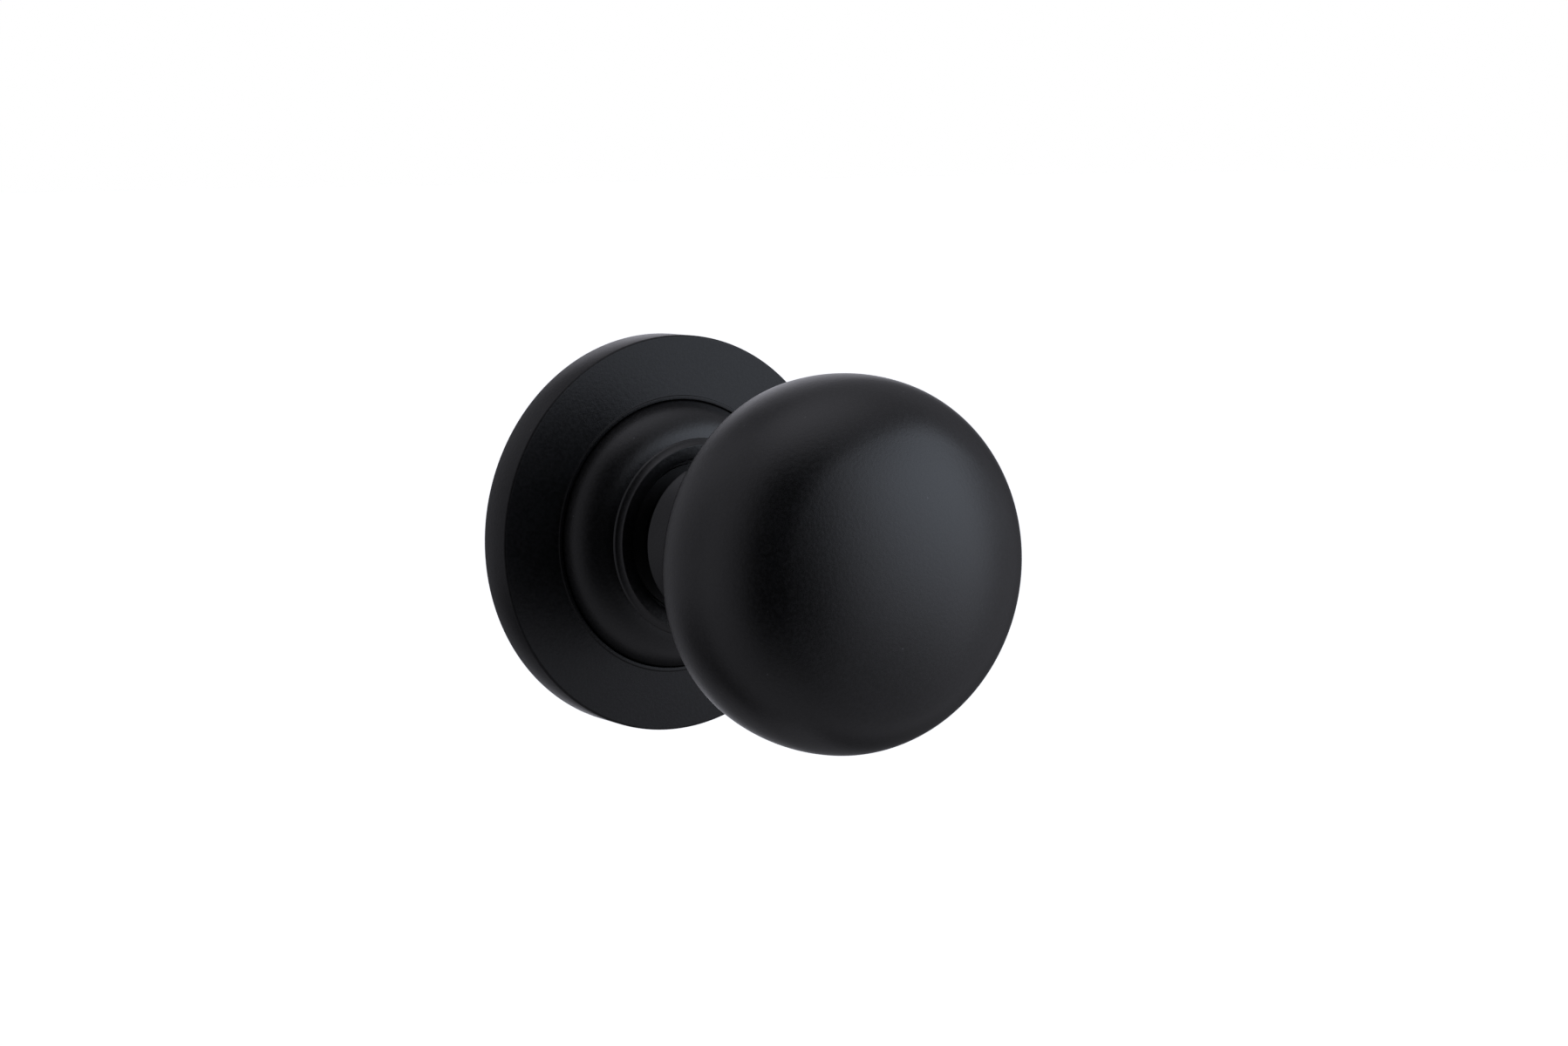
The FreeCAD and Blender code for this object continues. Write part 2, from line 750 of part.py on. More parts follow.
def rose_cover():
    """The pressed cover: a thin rim, a face that rises a little and a raised bead round its hole."""
    underside = rose_rim_out - cover_wall
    inner_radius = rose_radius - cover_wall
    edge = rose_radius + cover_draft
    bow = 1 - math.sqrt(0.5)
    return turned([
        (inner_radius, 0), (rose_radius, 0), (edge, rose_rim_out - rim_round), "arc",
        (edge - bow * rim_round, rose_rim_out - bow * rim_round),
        (edge - rim_round, rose_rim_out), (bead_outer_radius, rose_face_out),
        (bead_crest_radius, bead_out), (bead_inner_radius, bead_out),
        (cover_hole_radius, rose_face_out), (cover_hole_radius, underside),
        (inner_radius - cover_corner, underside), (inner_radius, underside - cover_corner)])


def ovolo_middle(foot, top, foot_tilt):
    """The middle of the collar's arc, which leaves its foot at an angle from the door's face."""
    across, rise = foot[0] - top[0], top[1] - foot[1]
    chord_tilt = math.degrees(math.atan2(rise, across))
    half_turn = math.radians(foot_tilt - chord_tilt)
    bow = math.hypot(across, rise) / 2 * math.tan(half_turn / 2)
    outward = (math.sin(math.radians(chord_tilt)), math.cos(math.radians(chord_tilt)))
    return ((foot[0] + top[0]) / 2 + bow * outward[0], (foot[1] + top[1]) / 2 + bow * outward[1])


def rose_collar():
    """The turned ovolo, with a stepped lip round the hole that the neck stands in."""
    underside = rose_rim_out - cover_wall
    foot = (collar_radius, collar_base_out)
    top = (collar_top_radius, collar_top_out)
    return turned([
        (collar_flange_inner, collar_flange_out), (collar_flange_radius, collar_flange_out),
        (collar_flange_radius, underside), (collar_radius, underside), foot,
        "arc", ovolo_middle(foot, top, collar_foot_tilt), top, lip_land_outer, lip_land_inner,
        (lip_radius + collar_edge, lip_out - collar_edge), (lip_radius, lip_out),
        (collar_bore_radius + collar_edge, lip_out), (collar_bore_radius, lip_out - collar_edge),
        (collar_bore_radius, collar_step_out), (collar_step_radius, collar_step_out),
        (collar_step_radius, collar_recess_out), (collar_recess_radius, collar_recess_out),
        (collar_recess_radius, collar_foot_out), (collar_flange_inner, collar_foot_out)])


makers = [
    mounting_plate, bolt_spigots, through_bolts, wood_screws, cassette_cap, cap_retaining_ring,
    neck_bush, cover_snap_ring, rear_washer, return_spring,
    knob_head, knob_shank, head_screw, lock_washer, head_dowels, spindle, spindle_grub_screw,
    drive_cam, thrust_washer, wave_washer, retaining_circlip,
    rose_cover, rose_collar,
]

os.makedirs("parts", exist_ok=True)
for maker in makers:
    shape = maker()
    assert shape.isValid(), maker.__name__
    assert all(solid.isClosed() for solid in shape.Solids), maker.__name__
    shape.exportStep("parts/" + maker.__name__ + ".step")
    print(maker.__name__, len(shape.Solids), round(shape.Volume, 2))
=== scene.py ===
import json
import math
import bmesh
import bpy
from mathutils import Matrix, Vector


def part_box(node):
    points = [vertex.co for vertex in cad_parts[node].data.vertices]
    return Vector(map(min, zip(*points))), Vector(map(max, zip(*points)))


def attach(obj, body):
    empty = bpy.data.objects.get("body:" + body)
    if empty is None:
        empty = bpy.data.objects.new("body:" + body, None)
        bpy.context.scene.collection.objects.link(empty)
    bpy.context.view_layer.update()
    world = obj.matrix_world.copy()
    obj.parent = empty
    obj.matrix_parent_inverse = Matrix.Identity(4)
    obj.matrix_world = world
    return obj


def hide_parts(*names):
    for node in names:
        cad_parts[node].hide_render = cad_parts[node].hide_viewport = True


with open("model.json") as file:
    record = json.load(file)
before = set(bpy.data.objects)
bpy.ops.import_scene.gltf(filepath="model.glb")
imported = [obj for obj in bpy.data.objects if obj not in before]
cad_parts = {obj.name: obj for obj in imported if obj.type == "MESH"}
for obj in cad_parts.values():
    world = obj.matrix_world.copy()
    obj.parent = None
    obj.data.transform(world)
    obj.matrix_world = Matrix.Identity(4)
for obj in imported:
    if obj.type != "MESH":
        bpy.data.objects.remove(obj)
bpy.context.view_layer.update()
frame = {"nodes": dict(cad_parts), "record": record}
mm = 0.001
doorNormal = (0, 1, 0)                                   # the knob's axis, into the door
slots = {entry["node"]: entry["material_slot"] for entry in frame["record"]["subparts"]}
print("frame loaded:", len(frame["nodes"]), "nodes")


# Outlines are drawn in one half-plane: a radius from the knob's axis and a distance out of the door.
def plane(radius, out):
    return Vector((radius * mm, -out * mm, 0))


# An outline is walked like a path: "line" goes straight to a radius and a distance out, "bend"
# follows an arc that leaves in the present heading, and "face" sets that heading. A line's third
# number rounds off the corner at its end.
def drawOutline(mesh, start, moves, corners):
    here = mesh.verts.new(plane(*start))
    first = here
    heading = 0.0
    for kind, *values in moves:
        if kind == "face":
            heading = math.radians(values[0])
        elif kind == "line":
            radius, out = values[0], values[1]
            grown = bmesh.ops.extrude_vert_indiv(mesh, verts=[here])
            last = here
            here = grown["verts"][0]
            here.co = plane(radius, out)
            step = here.co - last.co
            heading = math.atan2(step.y, step.x)
            if len(values) > 2:
                corners.append((radius, out, values[2]))
        else:
            bendRadius, degrees, segments = values
            reach = bendRadius * mm * (1 if degrees > 0 else -1)
            centre = here.co + Vector((-math.sin(heading), math.cos(heading), 0)) * reach
            spun = bmesh.ops.spin(mesh, geom=[here], cent=centre, axis=(0, 0, 1),
                                  angle=math.radians(degrees), steps=segments)
            here = [v for v in spun["geom_last"] if isinstance(v, bmesh.types.BMVert)][0]
            heading += math.radians(degrees)
    return first, here


# A piece turned about the knob's axis. An outline that starts and ends on the axis isn't closed.
def turnPiece(start, moves, segments, closed=True):
    mesh = bmesh.new()
    corners = []
    first, last = drawOutline(mesh, start, moves, corners)
    if closed:
        mesh.edges.new((last, first))
    bmesh.ops.spin(mesh, geom=mesh.verts[:] + mesh.edges[:], cent=(0, 0, 0), axis=doorNormal,
                   angle=2 * math.pi, steps=segments, use_merge=True)
    bmesh.ops.remove_doubles(mesh, verts=mesh.verts[:], dist=0.0005 * mm)
    bmesh.ops.recalc_face_normals(mesh, faces=mesh.faces[:])
    for radius, out, size in corners:
        softenRing(mesh, radius, out, size)
    return mesh


def onRing(vert, radius, out, slack=0.002 * mm):
    fromAxis = math.hypot(vert.co.x, vert.co.z)
    return abs(fromAxis - radius * mm) < slack and abs(vert.co.y + out * mm) < slack


def softenRing(mesh, radius, out, size):
    ring = [edge for edge in mesh.edges if all(onRing(vert, radius, out) for vert in edge.verts)]
    bmesh.ops.bevel(mesh, geom=ring, offset=size * mm, offset_type="OFFSET", segments=4,
                    profile=0.5, affect="EDGES", material=-1, clamp_overlap=True)


def block(width, depth, height, centre):                 # a box, with its sizes along x, y and z
    mesh = bmesh.new()
    scale = Matrix.Diagonal((width * mm, depth * mm, height * mm, 1))
    bmesh.ops.create_cube(mesh, size=1.0, matrix=Matrix.Translation(Vector(centre) * mm) @ scale)
    return mesh


def peg(radius, start, end, segments=64):                # a round bar from one point to another
    mesh = bmesh.new()
    way = (Vector(end) - Vector(start)) * mm
    middle = (Vector(end) + Vector(start)) * mm / 2
    place = Matrix.Translation(middle) @ way.to_track_quat("Z", "Y").to_matrix().to_4x4()
    bmesh.ops.create_cone(mesh, cap_ends=True, segments=segments, radius1=radius * mm,
                          radius2=radius * mm, depth=way.length, matrix=place)
    return mesh


def borrowObject(mesh):
    data = bpy.data.meshes.new("blank")
    mesh.to_mesh(data)
    mesh.free()
    made = bpy.data.objects.new("blank", data)
    bpy.context.scene.collection.objects.link(made)
    return made


def dropObject(made):
    data = made.data
    bpy.data.objects.remove(made)
    bpy.data.meshes.remove(data)


def cutAway(mesh, cutters):                              # takes every cutter out of the mesh
    blank = borrowObject(mesh)
    tools = [borrowObject(cutter) for cutter in cutters]
    for tool in tools:
        cut = blank.modifiers.new("cut", "BOOLEAN")
        cut.operation = "DIFFERENCE"
        cut.solver = "EXACT"
        cut.object = tool
    result = bmesh.new()
    result.from_object(blank, bpy.context.evaluated_depsgraph_get())
    for made in [blank] + tools:
        dropObject(made)
    return result


def keepPiece(name, mesh, body, node, material=None, smoothAngle=40):
    data = bpy.data.meshes.new(name)
    mesh.to_mesh(data)
    mesh.free()
    piece = bpy.data.objects.new(name, data)
    bpy.context.scene.collection.objects.link(piece)
    data.shade_smooth()
    data.set_sharp_from_angle(angle=math.radians(smoothAngle))
    data.materials.append(material or finishes[slots[node]])
    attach(piece, body)
    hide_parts(node)


class Wire:                                              # one output of a node
    def __init__(self, tree, socket=None):
        self.tree = tree
        self.socket = socket

    def node(self, kind, settings=None, inputs=None, output=0):
        made = self.tree.nodes.new(kind)
        for name, value in (settings or {}).items():
            setattr(made, name, value)
        for name, value in (inputs or {}).items():
            if isinstance(value, Wire):
                self.tree.links.new(value.socket, made.inputs[name])
            else:
                made.inputs[name].default_value = value
        return Wire(self.tree, made.outputs[output])

    def maths(self, operation, first, second=0.0):
        return self.node("ShaderNodeMath", {"operation": operation}, {0: first, 1: second})

    def __add__(self, other):
        return self.maths("ADD", self, other)

    def __mul__(self, other):
        return self.maths("MULTIPLY", self, other)

    def __rsub__(self, other):
        return self.maths("SUBTRACT", other, self)

    __radd__ = __add__
    __rmul__ = __mul__

    def ramp(self, low, high):                           # 0 below low, 1 above high, smooth between
        return self.node("ShaderNodeMapRange", {"interpolation_type": "SMOOTHSTEP"},
                         {"Value": self, "From Min": low, "From Max": high})


def newMaterial(name):
    material = bpy.data.materials.new(name)
    material.use_nodes = True
    tree = material.node_tree
    spot = Wire(tree).node("ShaderNodeTexCoord", output=3)    # Object coordinates
    return material, tree.nodes["Principled BSDF"], spot


def mixColours(factor, first, second):
    return factor.node("ShaderNodeMix", {"data_type": "RGBA"}, {0: factor, 6: first, 7: second}, 2)


def speckle(spot, scale, detail=2.0, roughness=0.5):
    return spot.node("ShaderNodeTexNoise", inputs={"Vector": spot, "Scale": scale, "Detail": detail,
                                                   "Roughness": roughness})


def bumpFrom(height, strength, depth, under=None):
    inputs = {"Height": height, "Strength": strength, "Distance": depth}
    if under:
        inputs["Normal"] = under
    return height.node("ShaderNodeBump", inputs=inputs)


def feed(shader, colour, roughness, normal):             # what changes over a surface
    for name, wire in (("Base Color", colour), ("Roughness", roughness), ("Normal", normal)):
        wire.tree.links.new(wire.socket, shader.inputs[name])


blackCoatLook = {
    "colour": (0.0012, 0.0012, 0.0014, 1), "mottled": (0.0078, 0.0078, 0.0086, 1),
    "mottle": (0.36, 0.66), "peelShare": 0.7, "cloudScale": 90.0, "cloudDetail": 4.0,
    "dust": (0.060, 0.060, 0.064, 1), "dustScale": 420.0, "dustSize": (0.03, 0.075),
    "dustShare": (0.74, 0.75), "roughness": 0.33, "roughnessSwing": 0.08,
    "peelScale": 2000.0, "peelDetail": 3.0, "peelRoughness": 0.6, "peelStrength": 0.45,
    "peelDepth": 0.00005, "grainScale": 7000.0, "grainStrength": 0.15, "grainDepth": 0.000005,
}


def blackCoat(name, gloss):                              # satin black, mottled, with a few specks
    look = blackCoatLook
    material, shader, spot = newMaterial(name)
    cloud = speckle(spot, look["cloudScale"], look["cloudDetail"])
    grain = speckle(spot, look["grainScale"])
    peel = speckle(spot, look["peelScale"], look["peelDetail"], look["peelRoughness"])
    cell = spot.node("ShaderNodeTexVoronoi", inputs={"Vector": spot, "Scale": look["dustScale"]})
    pick = Wire(spot.tree, cell.socket.node.outputs["Color"]).ramp(*look["dustShare"])
    dust = (1 - cell.ramp(*look["dustSize"])) * pick
    blend = peel * look["peelShare"] + cloud * (1 - look["peelShare"])
    mottled = mixColours(blend.ramp(*look["mottle"]), look["colour"], look["mottled"])
    shade = cloud * look["roughnessSwing"] + peel * look["roughnessSwing"]
    coarse = bumpFrom(peel, look["peelStrength"], look["peelDepth"])
    feed(shader, mixColours(dust, mottled, look["dust"]),
         shade + (look["roughness"] - look["roughnessSwing"]),
         bumpFrom(grain, look["grainStrength"], look["grainDepth"], coarse))
    shader.inputs["Specular IOR Level"].default_value = gloss
    return material


castZincLook = {
    "bright": (0.46, 0.46, 0.47, 1), "dull": (0.30, 0.30, 0.31, 1), "patches": (0.3, 0.7),
    "flowScale": 120.0, "flowDetail": 5.0, "flowRoughness": 0.6, "roughness": 0.46,
    "roughnessSwing": 0.18, "gritScale": 2600.0, "gritDetail": 3.0, "gritStrength": 0.35,
    "gritDepth": 0.00003, "metal": 0.9,
}


def castZinc():
    look = castZincLook
    material, shader, spot = newMaterial("castZinc")
    flow = speckle(spot, look["flowScale"], look["flowDetail"], look["flowRoughness"])
    grit = speckle(spot, look["gritScale"], look["gritDetail"])
    feed(shader, mixColours(flow.ramp(*look["patches"]), look["bright"], look["dull"]),
         flow * look["roughnessSwing"] + look["roughness"],
         bumpFrom(grit, look["gritStrength"], look["gritDepth"]))
    shader.inputs["Metallic"].default_value = look["metal"]
    return material


steelLook = {
    "lineScale": 900.0, "blotchScale": 240.0, "detail": 3.0, "patches": (0.3, 0.75),
    "lineSwing": 0.12, "blotchSwing": 0.1, "lineStrength": 0.2, "lineDepth": 0.00001,
    "platedSteel": {"bright": (0.60, 0.61, 0.63, 1), "dull": (0.44, 0.45, 0.47, 1),
                    "roughness": 0.30, "streak": (1, 0.08, 1)},
    "springSteel": {"bright": (0.26, 0.25, 0.24, 1), "dull": (0.15, 0.14, 0.13, 1),
                    "roughness": 0.34, "streak": (1, 1, 1)},
    "blackOxide": {"bright": (0.035, 0.035, 0.038, 1), "dull": (0.018, 0.018, 0.02, 1),
                   "roughness": 0.42, "streak": (1, 1, 1)},
}


def steelFinish(name):
    look = steelLook
    own = look[name]
    material, shader, spot = newMaterial(name)
    drawn = spot.node("ShaderNodeMapping", inputs={"Vector": spot, "Scale": own["streak"]})
    lines = speckle(drawn, look["lineScale"], look["detail"])
    blotch = speckle(spot, look["blotchScale"], look["detail"])
    shade = lines * look["lineSwing"] + blotch * look["blotchSwing"]
    feed(shader, mixColours(blotch.ramp(*look["patches"]), own["bright"], own["dull"]),
         shade + (own["roughness"] - look["blotchSwing"]),
         bumpFrom(lines, look["lineStrength"], look["lineDepth"]))
    shader.inputs["Metallic"].default_value = 1.0
    return material


nylonLook = {
    "dark": (0.006, 0.006, 0.006, 1), "pale": (0.011, 0.011, 0.011, 1), "cloudScale": 400.0,
    "cloudDetail": 3.0, "roughness": 0.42, "roughnessSwing": 0.15, "grainScale": 3000.0,
    "grainStrength": 0.2, "grainDepth": 0.00001,
}


def blackNylon():
    look = nylonLook
    material, shader, spot = newMaterial("blackNylon")
    cloud = speckle(spot, look["cloudScale"], look["cloudDetail"])
    feed(shader, mixColours(cloud, look["dark"], look["pale"]),
         cloud * look["roughnessSwing"] + look["roughness"],
         bumpFrom(speckle(spot, look["grainScale"]), look["grainStrength"], look["grainDepth"]))
    return material


flatCoat = blackCoat("blackCoatFlat", 0.30)              # the pressed cover's coat is a little flatter
finishes = {
    "black_coating": blackCoat("blackCoat", 0.5), "zinc": castZinc(), "steel": steelFinish("platedSteel"),
    "spring_steel": steelFinish("springSteel"), "black_screw": steelFinish("blackOxide"),
    "nylon": blackNylon(),
}
for name, slot in slots.items():
    shown = frame["nodes"][name].data.materials
    shown.clear()
    shown.append(finishes[slot])
print("finishes made:", len(finishes))


knobHead = {
    "front": -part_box("knob_head")[0].y / mm, "back": -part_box("knob_head")[1].y / mm,
    "wall": 2.4, "flatRadius": 17.0, "tenonRadius": 10.05, "bossRadius": 6.5, "bossStart": 50.0,
    "bossSink": 0.6, "screwHole": 2.0, "screwEnd": 62.5, "around": 256,
    "arcs": (                                            # radius, turn, steps outside and inside
        (41.2, 27.8, 24, 0),                             # dome
        (14.6, 54.6, 32, 10),                            # shoulder
        (25.2, 22.1, 16, 6),                             # belly
        (2.6, 75.5, 12, 4),                              # corner at the back
    ),
}


def makeKnobHead():
    size = knobHead
    wall, back, tenon = size["wall"], size["back"], size["tenonRadius"]
    skin = [("face", 0)]
    probeSkin = [("face", 0)]
    cavity = []
    for radius, turn, steps, stepsInside in size["arcs"]:
        skin.append(("bend", radius, turn, steps))
        probeSkin.append(("bend", radius - wall, turn, 1))
        if stepsInside:
            cavity.insert(0, ("bend", radius - wall, -turn, stepsInside))
    probe = bmesh.new()                                  # finds where the inner skin's corner ends
    end = drawOutline(probe, (0, size["front"] - wall), probeSkin, [])[1]
    cornerEnd = ("line", end.co.x / mm, -end.co.y / mm)
    probe.free()
    skin += [("line", size["flatRadius"], back), ("line", tenon, back, 0.15),
             ("line", tenon, back + wall, 0.1), cornerEnd, ("face", 0)]
    boss = [("line", size["bossRadius"], size["front"] - wall - size["bossSink"]),
            ("line", size["bossRadius"], size["bossStart"], 0.2),
            ("line", size["screwHole"], size["bossStart"]),
            ("line", size["screwHole"], size["screwEnd"]), ("line", 0, size["screwEnd"])]
    mesh = turnPiece((0, size["front"]), skin + cavity + boss, size["around"], closed=False)
    keepPiece("mushroomHead", mesh, "knob", "knob_head")


neckTurning = {
    "footRadius": 11.96, "footOut": 16.3, "edge": 0.2, "waistRadius": 9.8, "waistOut": 26.5,
    "headRadius": 16.4, "land": 0.3, "shoulderRadius": 9.0, "shoulderOut": 11.3, "footSteps": 20,
    "headSteps": 28, "around": 192, "rounded": 0.1,
    "journalRadius": 8.0, "journalOut": 0.1, "journalEdge": 0.15, "grooveRadius": 7.4,
    "groove": (0.35, 1.05), "flatDistance": 7.0, "flatsOut": 5.6, "flatCut": (4.0, 20.0),
    "tenonGap": 0.05, "tenonEnd": 49.9, "tenonEdge": 0.5, "socketSide": 8.1, "socketOut": 37.0,
    "pocketRadius": 3.95, "pocketOut": 43.0, "screwHole": 2.1, "grubOut": 27.0, "grubHole": 2.5,
    "grubReach": (-3, -14), "overcut": 1,                # how far a cutter runs past a face
}


def waistBend(radius, out):                              # the arc from the waist to a point
    rise = radius - neckTurning["waistRadius"]
    length = abs(out - neckTurning["waistOut"])
    bend = (rise ** 2 + length ** 2) / (2 * rise)
    return bend, math.degrees(math.asin(length / bend))


def makeNeck():
    size = neckTurning
    seat = knobHead["back"]
    tenon = knobHead["tenonRadius"]
    journal, start, shoulder = size["journalRadius"], size["journalOut"], size["shoulderRadius"]
    grooveBack, grooveFront = size["groove"]
    foot, footOut = size["footRadius"], size["footOut"]
    footBend, footTurn = waistBend(foot, footOut + size["edge"])
    headBend, headTurn = waistBend(size["headRadius"], seat - size["land"])
    moves = [("line", journal - size["journalEdge"], start), ("line", journal, start + size["journalEdge"]),
             ("line", journal, grooveBack), ("line", size["grooveRadius"], grooveBack),
             ("line", size["grooveRadius"], grooveFront), ("line", journal, grooveFront),
             ("line", journal, size["shoulderOut"]),
             ("line", shoulder, size["shoulderOut"], size["rounded"]), ("line", shoulder, footOut),
             ("line", foot - size["edge"], footOut), ("line", foot, footOut + size["edge"], size["rounded"]),
             ("face", 270 - footTurn), ("bend", footBend, footTurn, size["footSteps"]),
             ("bend", headBend, headTurn, size["headSteps"]), ("line", size["headRadius"], seat),
             ("line", tenon - size["tenonGap"], seat),
             ("line", tenon - size["tenonGap"], size["tenonEnd"] - size["tenonEdge"]),
             ("line", tenon - size["tenonEdge"], size["tenonEnd"]), ("line", 0, size["tenonEnd"])]
    mesh = turnPiece((0, start), moves, size["around"], closed=False)
    keepPiece("waistedNeck", cutAway(mesh, neckCutters()), "knob", "knob_shank", smoothAngle=30)


def neckCutters():                                       # flats, square socket, pocket and holes
    size = neckTurning
    past = size["overcut"]
    cutters = []
    flatWide, flatLong = size["flatCut"]
    for side in (-1, 1):
        middle = (side * (size["flatDistance"] + flatWide / 2), (past - size["flatsOut"]) / 2, 0)
        cutters.append(block(flatWide, size["flatsOut"] + past, flatLong, middle))
    deep = size["socketOut"] + past
    cutters.append(block(size["socketSide"], deep, size["socketSide"], (0, past - deep / 2, 0)))
    cutters.append(peg(size["pocketRadius"], (0, 0, 0), (0, -size["pocketOut"], 0)))
    cutters.append(peg(size["screwHole"], (0, 0, 0), (0, -size["tenonEnd"] - past, 0), 48))
    inner, outer = [(0, -size["grubOut"], height) for height in size["grubReach"]]
    cutters.append(peg(size["grubHole"], inner, outer, 48))
    return cutters


makeKnobHead()
makeNeck()
print("knob head and neck turned")


roseCover = {
    "radius": 30.0, "rimOut": 5.98, "faceOut": 6.30, "draft": 0.08, "wall": 1.2, "holeRadius": 20.3,
    "backRound": 0.1, "rimRound": 0.35, "beadFoot": 21.05, "beadOuter": 20.93, "beadInner": 20.45,
    "beadOut": 6.50, "beadRound": 0.06, "footRound": 0.08, "innerCorner": 0.5, "around": 256,
}


def makeRoseCover():
    size = roseCover
    inside = size["radius"] - size["wall"]
    under = size["rimOut"] - size["wall"]
    moves = [("line", size["radius"], 0, size["backRound"]),
             ("line", size["radius"] + size["draft"], size["rimOut"], size["rimRound"]),
             ("line", size["beadFoot"], size["faceOut"], size["footRound"]),
             ("line", size["beadOuter"], size["beadOut"], size["beadRound"]),
             ("line", size["beadInner"], size["beadOut"], size["beadRound"]),
             ("line", size["holeRadius"], size["faceOut"]), ("line", size["holeRadius"], under),
             ("line", inside - size["innerCorner"], under),
             ("line", inside, under - size["innerCorner"])]
    mesh = turnPiece((inside, 0), moves, size["around"])
    keepPiece("roseCoverDisc", mesh, "cover", "rose_cover", flatCoat)


roseCollar = {
    "foot": (20.25, 6.38), "footTilt": 78.0, "top": (15.0, 11.93), "swellSteps": 28,
    "landOuter": (14.86, 12.23), "landInner": (14.27, 12.62), "landRound": 0.05,
    "lipRadius": 14.12, "lipOut": 13.08, "lipRound": 0.1, "boreRadius": 12.1, "boreRound": 0.12,
    "flangeRadius": 21.6, "flangeInner": 18.0, "flangeOut": 3.75, "stepRadius": 13.6,
    "stepOut": 11.5, "recessRadius": 15.2, "recessOut": 10.6, "footOut": 8.0, "around": 256,
}


def makeRoseCollar():
    size = roseCollar
    under = roseCover["rimOut"] - roseCover["wall"]
    across = size["foot"][0] - size["top"][0]
    rise = size["top"][1] - size["foot"][1]
    turn = 2 * (size["footTilt"] - math.degrees(math.atan2(rise, across)))
    swell = math.hypot(across, rise) / 2 / math.sin(math.radians(turn / 2))
    moves = [("line", size["flangeRadius"], size["flangeOut"]), ("line", size["flangeRadius"], under),
             ("line", size["foot"][0], under), ("line", *size["foot"]),
             ("face", 180 + size["footTilt"]), ("bend", swell, -turn, size["swellSteps"]),
             ("line", *size["landOuter"], size["landRound"]), ("line", *size["landInner"]),
             ("line", size["lipRadius"], size["lipOut"], size["lipRound"]),
             ("line", size["boreRadius"], size["lipOut"], size["boreRound"]),
             ("line", size["boreRadius"], size["stepOut"]),
             ("line", size["stepRadius"], size["stepOut"]),
             ("line", size["stepRadius"], size["recessOut"]),
             ("line", size["recessRadius"], size["recessOut"]),
             ("line", size["recessRadius"], size["footOut"]),
             ("line", size["flangeInner"], size["footOut"])]
    mesh = turnPiece((size["flangeInner"], size["flangeOut"]), moves, size["around"])
    keepPiece("roseCollarRing", mesh, "cover", "rose_collar")


makeRoseCover()
makeRoseCollar()
print("rose turned")


machineScrew = {
    "name": "throughBolts", "node": "through_bolts", "first": (0, 0, 19.0), "second": (0, 0, -19.0),
    "headRadius": 3.9, "headOut": 3.38, "headDepth": 2.0, "recess": (2.3, 0.8, 1.4),
    "shankRadius": 1.8, "threadStart": -6.5, "threadRadius": 2.0, "coreRadius": 1.64, "pitch": 0.7,
    "crest": 0.1, "pointStart": -25.8, "tip": -26.6, "tipRadius": 1.35,
}
woodScrew = {
    "name": "woodScrews", "node": "wood_screws", "first": (19.0, 0, 0), "second": (-19.0, 0, 0),
    "headRadius": 3.4, "headOut": 3.08, "headDepth": 1.8, "recess": (1.9, 0.7, 1.1),
    "shankRadius": 1.75, "threadStart": -0.8, "threadRadius": 1.75, "coreRadius": 1.2, "pitch": 1.35,
    "crest": 0.08, "pointStart": -7.9, "tip": -12.9, "tipRadius": 0.15,
}
threadShape = {                                          # lead, flank and run-out are parts of a turn
    "perTurn": 24, "lead": 0.6, "flank": 0.42, "runOut": 1.2, "sunk": 0.08, "shoulder": 0.3,
    "headRound": 0.08, "around": 48,
}


def makeThread(look):                                    # a ridge that winds along the screw
    shape = threadShape
    ridge = bmesh.new()
    turns = (look["threadStart"] - look["tip"]) / look["pitch"] - shape["runOut"]
    start = look["threadStart"] - look["pitch"] * shape["lead"]
    root, half = look["coreRadius"] - shape["sunk"], look["pitch"] * shape["flank"]
    profile = [(root, half), (look["threadRadius"], look["crest"] / 2),
               (look["threadRadius"], -look["crest"] / 2), (root, -half)]
    loop = [ridge.verts.new(plane(radius, start + along)) for radius, along in profile]
    for place, corner in enumerate(loop):
        ridge.edges.new((corner, loop[place - 1]))
    bmesh.ops.spin(ridge, geom=loop + ridge.edges[:], cent=(0, 0, 0), axis=doorNormal,
                   angle=2 * math.pi * turns, steps=round(shape["perTurn"] * turns),
                   dvec=(0, look["pitch"] * mm / shape["perTurn"], 0))
    bmesh.ops.holes_fill(ridge, edges=[edge for edge in ridge.edges if edge.is_boundary], sides=4)
    bmesh.ops.recalc_face_normals(ridge, faces=ridge.faces[:])
    for vert in ridge.verts:                             # the thread follows the tapered point
        along = (vert.co.y / mm + look["pointStart"]) / (look["pointStart"] - look["tip"])
        if along > 0:
            shrink = 1 - min(along, 1) * (1 - look["tipRadius"] / look["coreRadius"])
            vert.co.x *= shrink
            vert.co.z *= shrink
    return ridge


